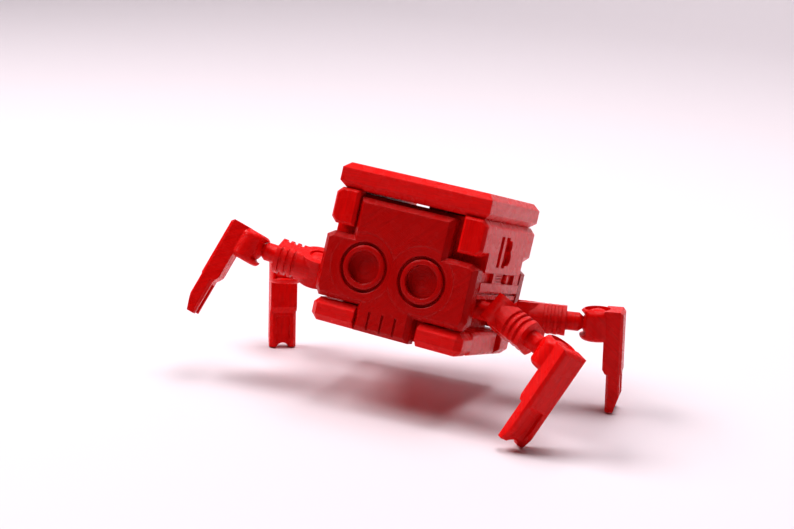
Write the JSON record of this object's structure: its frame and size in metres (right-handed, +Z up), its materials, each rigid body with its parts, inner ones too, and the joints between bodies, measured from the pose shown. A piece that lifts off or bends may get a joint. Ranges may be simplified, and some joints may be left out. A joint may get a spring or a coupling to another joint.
{
  "type": "legged cube robot figure",
  "caption": "Printed cube-bodied robot with round eyes, standing on jointed legs with ball-and-socket hips and knees.",
  "frame": {"origin": "bottom centre of the bounding box, on the floor the feet stand on", "axes": "+Z up from the floor, -Y towards the side with the eyes, +X to the right of someone facing the eyes"},
  "size_m": [0.1338, 0.0674, 0.0743],
  "materials": {
    "red_plastic": "satin, layered print"
  },
  "bodies": {
    "cube": {"bottom_plate": "red_plastic", "core_frame": "red_plastic", "corner_block_front_left": "red_plastic", "corner_block_front_right": "red_plastic", "corner_block_rear_left": "red_plastic", "corner_block_rear_right": "red_plastic", "eye_cup_left": "red_plastic", "eye_cup_right": "red_plastic", "face_plate": "red_plastic", "latch_block_left": "red_plastic", "latch_block_right": "red_plastic", "lower_panel_left": "red_plastic", "lower_panel_right": "red_plastic", "rail_knob_left": "red_plastic", "rail_knob_right": "red_plastic", "rear_plate": "red_plastic", "side_panel_left": "red_plastic", "side_panel_right": "red_plastic", "side_rail_left": "red_plastic", "side_rail_right": "red_plastic", "top_lid": "red_plastic"},
    "hip_front_left": {"hip_stud_front_left": "red_plastic"},
    "upper_leg_front_left": {"thigh_front_left": "red_plastic"},
    "knee_front_left": {"knee_stud_front_left": "red_plastic"},
    "lower_leg_front_left": {"shin_front_left": "red_plastic"},
    "hip_front_right": {"hip_stud_front_right": "red_plastic"},
    "upper_leg_front_right": {"thigh_front_right": "red_plastic"},
    "knee_front_right": {"knee_stud_front_right": "red_plastic"},
    "lower_leg_front_right": {"shin_front_right": "red_plastic"},
    "hip_rear_left": {"hip_stud_rear_left": "red_plastic"},
    "upper_leg_rear_left": {"thigh_rear_left": "red_plastic"},
    "knee_rear_left": {"knee_stud_rear_left": "red_plastic"},
    "lower_leg_rear_left": {"shin_rear_left": "red_plastic"},
    "hip_rear_right": {"hip_stud_rear_right": "red_plastic"},
    "upper_leg_rear_right": {"thigh_rear_right": "red_plastic"},
    "knee_rear_right": {"knee_stud_rear_right": "red_plastic"},
    "lower_leg_rear_right": {"shin_rear_right": "red_plastic"}
  },
  "joints": [
    {"name": "hip_twist_front_left", "type": "hinge", "parent": "cube", "child": "hip_front_left", "pos_m": [-0.02887, -0.01073, 0.03791], "axis": [-0.998, 0, 0.0636], "range_deg": [-30, 30]},
    {"name": "hip_lift_front_left", "type": "hinge", "parent": "hip_front_left", "child": "upper_leg_front_left", "pos_m": [-0.02887, -0.01073, 0.03791], "axis": [0.1577, -0.9719, -0.175], "range_deg": [-28, 42]},
    {"name": "knee_twist_front_left", "type": "hinge", "parent": "upper_leg_front_left", "child": "knee_front_left", "pos_m": [-0.05125, -0.01517, 0.04238], "axis": [-0.9625, -0.1908, 0.1926], "range_deg": [-40, 40]},
    {"name": "knee_swing_front_left", "type": "hinge", "parent": "knee_front_left", "child": "lower_leg_front_left", "pos_m": [-0.05125, -0.01517, 0.04238], "axis": [0.3035, 0.412, 0.8592], "range_deg": [-50, 20]},
    {"name": "hip_twist_front_right", "type": "hinge", "parent": "cube", "child": "hip_front_right", "pos_m": [0.0346, -0.01073, 0.03386], "axis": [0.998, 0, -0.0636], "range_deg": [-30, 30]},
    {"name": "hip_lift_front_right", "type": "hinge", "parent": "hip_front_right", "child": "upper_leg_front_right", "pos_m": [0.0346, -0.01073, 0.03386], "axis": [0.136, 0.7705, -0.6227], "range_deg": [-50, 10]},
    {"name": "knee_twist_front_right", "type": "hinge", "parent": "upper_leg_front_right", "child": "knee_front_right", "pos_m": [0.05505, -0.01964, 0.0273], "axis": [0.8796, -0.3832, -0.2821], "range_deg": [-40, 40]},
    {"name": "knee_swing_front_right", "type": "hinge", "parent": "knee_front_right", "child": "lower_leg_front_right", "pos_m": [0.05505, -0.01964, 0.0273], "axis": [0.4215, 0.2338, 0.8762], "range_deg": [-3, 72]},
    {"name": "hip_twist_rear_left", "type": "hinge", "parent": "cube", "child": "hip_rear_left", "pos_m": [-0.02927, 0.01266, 0.03174], "axis": [-0.998, 0, 0.0636], "range_deg": [-30, 30]},
    {"name": "hip_lift_rear_left", "type": "hinge", "parent": "hip_rear_left", "child": "upper_leg_rear_left", "pos_m": [-0.02927, 0.01266, 0.03174], "axis": [-0.0311, -0.9685, 0.247], "range_deg": [-45, 30]},
    {"name": "knee_twist_rear_left", "type": "hinge", "parent": "upper_leg_rear_left", "child": "knee_rear_left", "pos_m": [-0.05227, 0.01254, 0.02835], "axis": [-0.9893, -0.0054, -0.1459], "range_deg": [-40, 40]},
    {"name": "knee_swing_rear_left", "type": "hinge", "parent": "knee_rear_left", "child": "lower_leg_rear_left", "pos_m": [-0.05227, 0.01254, 0.02835], "axis": [-0.1196, 0.1563, 0.9805], "range_deg": [-3, 74]},
    {"name": "hip_twist_rear_right", "type": "hinge", "parent": "cube", "child": "hip_rear_right", "pos_m": [0.03421, 0.01266, 0.0277], "axis": [0.998, 0, -0.0636], "range_deg": [-30, 30]},
    {"name": "hip_lift_rear_right", "type": "hinge", "parent": "hip_rear_right", "child": "upper_leg_rear_right", "pos_m": [0.03421, 0.01266, 0.0277], "axis": [-0.2846, 0.9293, -0.2352], "range_deg": [-20, 35]},
    {"name": "knee_twist_rear_right", "type": "hinge", "parent": "upper_leg_rear_right", "child": "knee_rear_right", "pos_m": [0.05645, 0.01942, 0.02746], "axis": [0.9569, 0.2904, -0.0104], "range_deg": [-40, 40]},
    {"name": "knee_swing_rear_right", "type": "hinge", "parent": "knee_rear_right", "child": "lower_leg_rear_right", "pos_m": [0.05645, 0.01942, 0.02746], "axis": [-0.0742, 0.0477, 0.9961], "range_deg": [-15, 60]}
  ]
}
